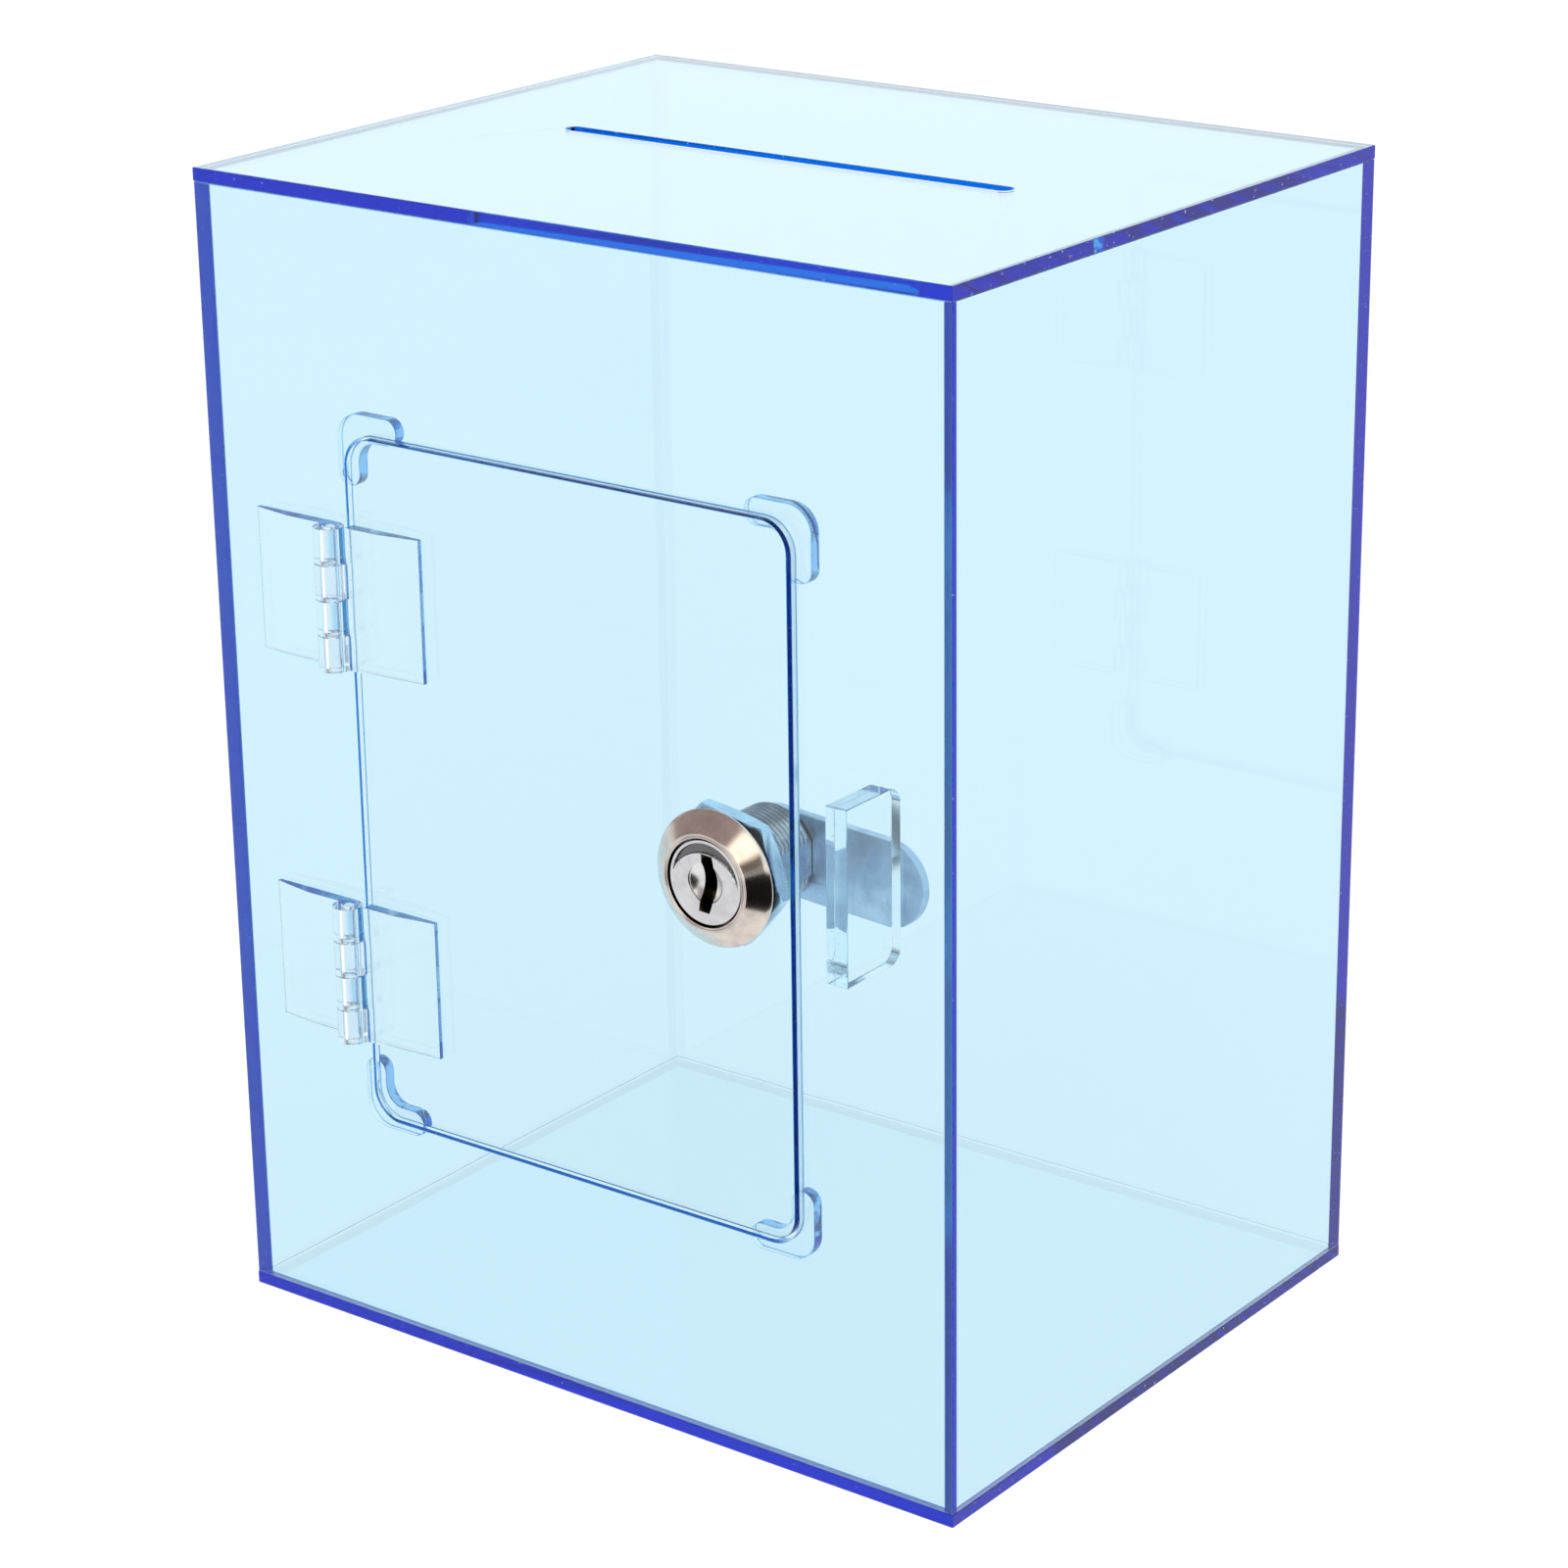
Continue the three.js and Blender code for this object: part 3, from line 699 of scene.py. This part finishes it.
def make_hinges(clear, joint):
    for which in ("upper", "lower"):
        low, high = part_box(f"{which}_hinge_frame_leaf")
        pin_low, pin_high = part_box(f"{which}_hinge_pin")
        radius = (high.y - low.y) / 2
        axis = Vector((joint.x, joint.y, (low.z + high.z) / 2))
        height = high.z - low.z
        frame_leaf = hinge_leaf(f"clear_{which}_frame_leaf", axis, axis.x - low.x, height, radius, 1, 1)
        dress(frame_leaf, clear, "case", f"{which}_hinge_frame_leaf")
        door_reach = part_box(f"{which}_hinge_door_leaf")[HIGH].x - axis.x
        door_leaf = hinge_leaf(f"clear_{which}_door_leaf", axis, door_reach, height, radius, -1, 0)
        dress(door_leaf, clear, "door", f"{which}_hinge_door_leaf")
        pin = bmesh.new()
        size = (pin_high.x - pin_low.x) / 2
        bmesh.ops.create_cone(
            pin, cap_ends=True, segments=40, radius1=size, radius2=size, depth=pin_high.z - pin_low.z,
            matrix=Matrix.Translation(axis),
        )
        pin_piece = soften(loose(pin, f"clear_{which}_pin"), PIN_ROUNDING)
        dress(pin_piece, clear, "case", f"{which}_hinge_pin")


# ---------- Lock ----------


def fillet(before, corner, after, radius, steps=4):
    """Points that round a profile's corner."""
    a, c, b = Vector(before), Vector(corner), Vector(after)
    start = c + (a - c).normalized() * radius
    end = c + (b - c).normalized() * radius
    return [
        tuple(start * (1 - t) ** 2 + c * 2 * t * (1 - t) + end * t**2)
        for t in (i / steps for i in range(steps + 1))
    ]


def profile_with_fillets(corners):
    """A closed profile from (radius, y, rounding) corners."""
    points = []
    count = len(corners)
    for i, (r, y, rounding) in enumerate(corners):
        if rounding:
            before, after = corners[i - 1], corners[(i + 1) % count]
            points += fillet(before[:2], (r, y), after[:2], rounding)
        else:
            points.append((r, y))
    return points


def clamp(value, limit):
    return max(-limit, min(limit, value))


def thread_height(y, angle):
    """How far the thread's flank stands below its crest, from 0 to 1."""
    turns = (y / THREAD_PITCH + angle / (2 * math.pi)) % 1.0
    return min(1.0, max(0.0, 1.25 * abs(2 * turns - 1) - 0.1))


def make_housing(nickel, zinc):
    low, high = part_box("lock_housing")
    axis = lock_axis()
    rim = (high.x - low.x) / 2
    door_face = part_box("door_panel")[LOW].y
    seat = door_face - 0.05 * MM
    front, back = low.y, high.y
    bezel = profile_with_fillets([
        (COUNTERBORE, front + HEAD_DEPTH, 0),
        (COUNTERBORE, front + 0.2 * MM, 0),
        (COUNTERBORE, front, 0.07 * MM),
        (COUNTERBORE + 0.22 * MM, front, 0.06 * MM),
        (COUNTERBORE + 0.30 * MM, front + 0.14 * MM, 0.04 * MM),
        (COUNTERBORE + 0.40 * MM, front, 0.06 * MM),
        (RING_RADIUS - 0.12 * MM, front, 0.06 * MM),
        (RING_RADIUS, front + 0.2 * MM, 0.05 * MM),
        (rim - 0.3 * MM, seat - BEZEL_LIP, 0.4 * MM),
        (rim, seat - BEZEL_LIP * 0.5, 0.12 * MM),
        (rim, seat, 0.1 * MM),
        (BARREL_RADIUS - 0.6 * MM, seat, 0),
        (BARREL_RADIUS - 0.6 * MM, front + HEAD_DEPTH, 0),
    ])
    bezel_piece = new_object("nickel_lock_bezel", revolve(bezel, axis, 160), nickel, "door", "lock_housing")
    bore_wall = COUNTERBORE + 0.01 * MM

    # Painted shade on the bore wall behind the bezel's front edge, in the groove round the plug.
    def in_bore(point):
        near = math.hypot(point.x - axis.x, point.z - axis.z) < bore_wall
        return 1.0 if near and point.y > front + 0.15 * MM else 0.0

    mark_painted_shade(bezel_piece, in_bore)

    thread_start, thread_end = seat + 0.02 * MM, back - 0.5 * MM
    count = math.ceil((thread_end - thread_start) / THREAD_PITCH * 10)
    crest = [
        (BARREL_RADIUS, thread_start + (thread_end - thread_start) * i / count)
        for i in range(count + 1)
    ]
    barrel = [(BORE_RADIUS, seat + 0.02 * MM)] + crest
    barrel += [(BARREL_RADIUS - THREAD_DEPTH, back), (BORE_RADIUS + 0.3 * MM, back)]
    barrel += [(BORE_RADIUS, back - 0.3 * MM)]

    def threaded(radius, y, angle):
        if radius == BARREL_RADIUS:
            radius = BARREL_RADIUS - THREAD_DEPTH * thread_height(y, angle)
        return (clamp(radius * math.cos(angle), BARREL_FLAT), y, radius * math.sin(angle))

    barrel_piece = new_object(
        "zinc_lock_barrel", revolve(barrel, axis, 120, threaded), zinc, "door", "lock_housing",
        sharp=math.radians(50),
    )

    # Painted shade in the thread's roots, up to 0.7 at the deepest, and none on the flats.
    def in_thread(point):
        out = math.hypot(point.x - axis.x, point.z - axis.z)
        on_flat = abs(point.x - axis.x) > BARREL_FLAT - 0.01 * MM
        return 0.0 if on_flat else min(1.0, max(0.0, (BARREL_RADIUS - out) / THREAD_DEPTH)) * 0.7

    mark_painted_shade(barrel_piece, in_thread)


def make_nut(zinc):
    low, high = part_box("lock_nut")
    axis = lock_axis()
    corner = NUT_ACROSS_FLATS / math.sqrt(3)
    angles = [NUT_CORNER_ANGLE + i * math.pi / 3 for i in range(6)]
    points = [(axis.x + corner * math.cos(a), axis.z + corner * math.sin(a)) for a in angles]
    place = lambda u, v, d: Vector((u, d, v))
    nut = loose(extrude_outline(points, place, (low.y, high.y)), "zinc_lock_nut")
    flat = NUT_ACROSS_FLATS / 2
    turned_blank = revolve(
        [
            (0, low.y - MM),
            (flat, low.y - 1e-6),
            (corner + 0.02 * MM, low.y + NUT_CHAMFER),
            (corner + 0.02 * MM, high.y - NUT_CHAMFER),
            (flat, high.y + 1e-6),
            (0, high.y + MM),
        ],
        axis,
        96,
    )
    carve(nut, [loose(turned_blank)], "INTERSECT")
    start, end = low.y - MM, high.y + MM
    bore = revolve([(0, start), (NUT_BORE, start), (NUT_BORE, end), (0, end)], axis)
    carve(nut, [loose(bore)])
    dress(soften(nut, 0.06 * MM), zinc, "door", "lock_nut")
    # Painted shadow on the nut's front face, where it presses against the door; blue_zinc's shade makes it
    # navy.
    mark_painted_shade(nut, lambda point: 1.0 if point.y < low.y + 0.1 * MM else 0.0)


def step(value, low, high):
    t = min(1.0, max(0.0, (value - low) / (high - low)))
    return t * t * (3 - 2 * t)


def crescent_at(x, z):
    """1 in the crescent-shaped hollow along the top of the plug's face, 0 outside it."""
    soft = 0.06 * MM
    inner, outer = CRESCENT["inner"], CRESCENT["outer"]
    beyond_disc = step(math.hypot(x, z + CRESCENT["drop"]), inner - soft, inner + soft)
    return beyond_disc * (1 - step(math.hypot(x, z), outer - soft, outer + soft))


def dish_groove_at(x, z):
    """1 in the fine groove round the dish, which fades out towards the top."""
    off = abs(math.hypot(x, z) - DIMPLE_RADIUS)
    return (1 - step(off, 0.04 * MM, 0.16 * MM)) * (1 - step(z, 0.5 * MM, 2.4 * MM))


def plug_relief(x, z):
    """How far the plug's face lies behind its rim: a round dish at the keyway, and the crescent."""
    dish = DIMPLE_DEPTH * max(0.0, 1 - (math.hypot(x, z) / DIMPLE_RADIUS) ** 2)
    return dish + 0.15 * MM * dish_groove_at(x, z) + CRESCENT["depth"] * crescent_at(x, z)


def keyway_points(steps=12):
    """A tall slot that bows to the right at half height, round the lock's axis."""
    middle = (KEYWAY["bottom"] + KEYWAY["top"]) / 2
    ends = (KEYWAY["bottom"], KEYWAY["top"])

    def side(start_x, bow, backwards):
        points = []
        for i in range(steps + 1):
            t = 1 - i / steps if backwards else i / steps
            x = start_x * ((1 - t) ** 2 + t**2) + 2 * t * (1 - t) * bow
            z = ends[0] * (1 - t) ** 2 + middle * 2 * t * (1 - t) + ends[1] * t**2
            points.append((x, z))
        return points

    right = side(KEYWAY["half"], KEYWAY["right"], False)
    left = side(-KEYWAY["half"], KEYWAY["left"], True)
    return right + left


def make_plug(bright):
    low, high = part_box("lock_plug")
    axis = lock_axis()
    front, back = low.y, high.y
    housing_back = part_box("lock_housing")[HIGH].y
    face = [(PLUG_HEAD * 0.985 * i / 80, front) for i in range(81)]
    profile = face + [
        (PLUG_HEAD, front + 0.12 * MM),
        (PLUG_HEAD, front + 0.25 * MM),
        (PLUG_HEAD, front + 1.4 * MM),
        (BORE_RADIUS - 0.05 * MM, front + 1.45 * MM),
        (BORE_RADIUS - 0.05 * MM, housing_back + 0.1 * MM),
        (PLUG_TAIL, housing_back + 0.15 * MM),
        (PLUG_TAIL, back),
        (0, back),
    ]

    def shaped(radius, y, angle):
        x, z = radius * math.cos(angle), radius * math.sin(angle)
        if y == front:
            return (x, front + plug_relief(x, z), z)
        if radius <= PLUG_TAIL:
            return (clamp(x, PLUG_SQUARE), y, clamp(z, PLUG_SQUARE))
        return (x, y, z)

    bm = revolve(profile, axis, 160, shaped)
    centre = min(bm.verts, key=lambda v: (v.co - Vector((axis.x, front, axis.z))).length)
    centre.co.y = front + plug_relief(0, 0)
    plug = loose(bm, "bright_lock_plug")
    place = lambda u, v, d: Vector((axis.x + u, d, axis.z + v))
    depths = (front - MM, front + SHADED_FROM, front + KEYWAY_DEPTH)
    keyway = extrude_outline(keyway_points(), place, depths)
    carve(plug, [loose(keyway)])
    soften(plug, 0.05 * MM, 2, math.radians(65))

    # Painted shade: black deep in the keyway (shade with grease) and on the plug's side inside the bezel's
    # groove; charcoal in the crescent and in the groove round the dish.
    def plug_painted_shade(point):
        x, z = point.x - axis.x, point.z - axis.z
        if point.y > front + SHADED_FROM - 0.05 * MM:
            return 1.0
        if math.hypot(x, z) > PLUG_HEAD - 0.01 * MM and point.y > front + 0.2 * MM:
            return 1.0
        return 0.8 * max(crescent_at(x, z), dish_groove_at(x, z))

    mark_painted_shade(plug, plug_painted_shade)
    turn(plug, CAM_TURN, axis)
    dress(plug, bright, "lock_core", "lock_plug", sharp=math.radians(40))


def make_cam(steel):
    low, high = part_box("lock_cam")
    axis = lock_axis()
    half = CAM_HALF_WIDTH
    quarter = math.pi / 2
    outline = arcs(
        arc((CAM_REACH - half, 0), half, -quarter, quarter),
        arc((0, 0), half, quarter, 3 * quarter),
    )
    square = rounded((-CAM_HOLE, -CAM_HOLE), (CAM_HOLE, CAM_HOLE), [0.4 * MM] * 4)
    place = lambda u, v, d: Vector((axis.x + u, low.y + d, axis.z + v))
    bm = sheet_mesh(outline, [square], high.y - low.y, place, edge=0.22 * MM)
    cam = loose(bm, "steel_lock_cam")
    turn(cam, CAM_TURN, axis)
    dress(cam, steel, "lock_core", "lock_cam")


def make_fastener(zinc):
    axis = lock_axis()
    low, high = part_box("cam_washer")
    rim = (high.x - low.x) / 2
    washer = profile_with_fillets([
        (WASHER_HOLE, low.y, 0.08 * MM),
        (rim, low.y, 0.12 * MM),
        (rim, high.y, 0.12 * MM),
        (WASHER_HOLE, high.y, 0.08 * MM),
    ])
    new_object("zinc_cam_washer", revolve(washer, axis, 72), zinc, "lock_core", "cam_washer")
    low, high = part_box("cam_screw")
    head_radius = (high.x - low.x) / 2
    seat = high.y - SCREW_HEAD
    profile = [(0, low.y), (SCREW_SHANK, low.y + 0.3 * MM), (SCREW_SHANK, seat), (head_radius, seat)]
    profile += fillet((head_radius, seat), (head_radius, high.y), (0, high.y), 1.5 * MM, 8)
    profile += [(0, high.y)]
    screw = loose(revolve(profile, axis, 48), "zinc_cam_screw")
    long, deep, wide = 2.1 * MM, 1.2 * MM, 0.45 * MM
    tools = []
    for half_x, half_z in ((long, wide), (wide, long)):
        lows = (axis.x - half_x, high.y - deep, axis.z - half_z)
        highs = (axis.x + half_x, high.y + MM, axis.z + half_z)
        tools.append(loose(block(lows, highs)))
    carve(screw, tools)
    turn(screw, CAM_TURN, axis)
    dress(screw, zinc, "lock_core", "cam_screw")


def finish_hidden_lock_parts(brass, steel):
    """The wafers and their springs keep their CAD shapes."""
    for name, node in frame["nodes"].items():
        if name.startswith("wafer_"):
            material = brass if "tumbler" in name else steel
            node.data.materials.clear()
            node.data.materials.append(material)


# ---------- Floor and light ----------


def make_floor():
    bm = bmesh.new()
    bmesh.ops.create_grid(bm, x_segments=1, y_segments=1, size=6)
    mesh = bpy.data.meshes.new("floor")
    bm.to_mesh(mesh)
    bm.free()
    floor = bpy.data.objects.new("floor", mesh)
    floor.location.z = -0.1 * MM
    mesh.materials.append(floor_material())
    bpy.context.scene.collection.objects.link(floor)
    floor.visible_glossy = False


def patch(n, direction, toward, inner, outer):
    """1 within inner degrees of a direction, easing to 0 at outer degrees from it."""
    along = n.vector("DOT_PRODUCT", direction, tuple(Vector(toward).normalized()))
    return n.ramp(along, math.cos(math.radians(outer)), math.cos(math.radians(inner)))


def make_light():
    """A white studio. What mirrors show of it is darker in front, where the camera stands in an unlit
    room with a brown wall, and has a warm lamp above that."""
    world = bpy.data.worlds.new("studio")
    world.use_nodes = True
    bpy.context.scene.world = world
    n = Nodes(world.node_tree)
    direction = n.add("ShaderNodeTexCoord").outputs["Generated"]
    split = n.add("ShaderNodeSeparateXYZ", {0: direction})
    level = n.ramp(split.outputs["Z"], 0.0, 0.9, 0.95, 1.3)
    white = n.mix(1.0, (0, 0, 0, 1), level)

    x, y, z = (split.outputs[axis] for axis in "XYZ")
    in_front = n.math("MULTIPLY", n.ramp(y, 0.3, -0.1), n.ramp(x, 0.3, -0.05))
    above = n.math("MULTIPLY", in_front, n.ramp(z, -0.1, 0.15))
    walls = n.mix(n.ramp(z, -0.2, 0.2), (0.95, 0.94, 0.93, 1), (1.12, 1.12, 1.12, 1))
    seen = n.mix(above, walls, (0.36, 0.30, 0.29, 1))
    left = patch(n, direction, (-0.6, -0.75, -0.3), 15, 40)
    seen = n.mix(left, seen, (0.8, 0.8, 0.82, 1))
    dark = patch(n, direction, (0.57, -0.80, -0.18), 30, 34)
    # Seen from behind, the top mirrors what lies up and to the right here, so that part stays white.
    below = n.ramp(z, 0.08, -0.02)
    beside = n.ramp(x, 0.58, 0.52)
    dark = n.math("MULTIPLY", dark, n.math("MAXIMUM", below, beside))
    seen = n.mix(dark, seen, (0.01, 0.008, 0.008, 1))
    brown = patch(n, direction, (0.40, -0.88, 0.22), 6, 13)
    seen = n.mix(brown, seen, (0.16, 0.12, 0.10, 1))
    lamp = patch(n, direction, (0.256, -0.841, 0.476), 7, 18)
    seen = n.mix(lamp, seen, (1.7, 1.55, 1.35, 1))
    mirrored = n.add("ShaderNodeLightPath").outputs["Is Glossy Ray"]
    background = n.add("ShaderNodeBackground", {"Color": n.mix(mirrored, white, seen)})
    n.add("ShaderNodeOutputWorld", {"Surface": background.outputs[0]})


def set_light_paths():
    """Light runs a long way inside the sheets before it leaves at an edge."""
    scene = bpy.context.scene
    scene.view_settings.view_transform = "Standard"
    cycles = scene.cycles
    cycles.max_bounces = 96
    cycles.glossy_bounces = 96
    cycles.transmission_bounces = 96
    cycles.transparent_max_bounces = 16


# ---------- Everything together ----------


def hinge_axis():
    joint = next(j for j in frame["joints"] if j["name"] == "door_swing")
    return Vector(joint["pos_m"])


def main():
    make_camera()
    tinted = plastic("tinted_acrylic", (92, 29, 4.5), 1.49, haze=0.02, wave=0.02 * MM, saw=0.3, speckle=0.5)
    keeper = plastic("clear_acrylic", (6, 2, 1), 1.49, haze=0.02, wave=0.01 * MM, saw=0.6, speckle=0.9)
    door = plastic("deep_acrylic", (92, 33, 12), 1.49, haze=0.02, wave=0.02 * MM, saw=0.3, speckle=0.5)
    stops = plastic("pale_acrylic", (14, 6, 1.5), 1.49, haze=0.02, wave=0.01 * MM, saw=0.3, speckle=0.5)
    hinge = plastic("clear_moulded", (5, 4, 2), 1.50, haze=0.12, wave=0.03 * MM, saw=0.2)
    axis = lock_axis()
    nickel = metal("satin_nickel", (0.80, 0.73, 0.66), (0.62, 0.56, 0.51), 0.13, 220, axis, 0.002 * MM)
    zinc = metal("zinc_plate", (0.64, 0.68, 0.74), (0.42, 0.46, 0.52), 0.25, 300)
    # Its shade is the navy painted shadow on the nut's face against the door.
    blue_zinc = metal(
        "blue_zinc", (0.62, 0.82, 0.98), (0.50, 0.68, 0.86), 0.25, 300, shade=(0.012, 0.03, 0.13)
    )
    bright = metal("bright_plug", (0.86, 0.86, 0.86), (0.74, 0.74, 0.75), 0.22, 400, cast=0.004 * MM)
    steel = metal("cam_steel", (0.56, 0.70, 0.86), (0.38, 0.50, 0.66), 0.32, 260, cast=0.006 * MM)
    brass = metal("wafer_brass", (0.80, 0.62, 0.30), (0.62, 0.46, 0.22), 0.35, 500)
    make_flat_panels(tinted)
    make_walls(tinted)
    make_door(door)
    make_corner_stops(stops)
    make_keeper(keeper)
    make_hinges(hinge, hinge_axis())
    make_housing(nickel, zinc)
    make_nut(blue_zinc)
    make_plug(bright)
    make_cam(steel)
    make_fastener(zinc)
    finish_hidden_lock_parts(brass, zinc)
    make_floor()
    make_light()
    set_light_paths()


main()
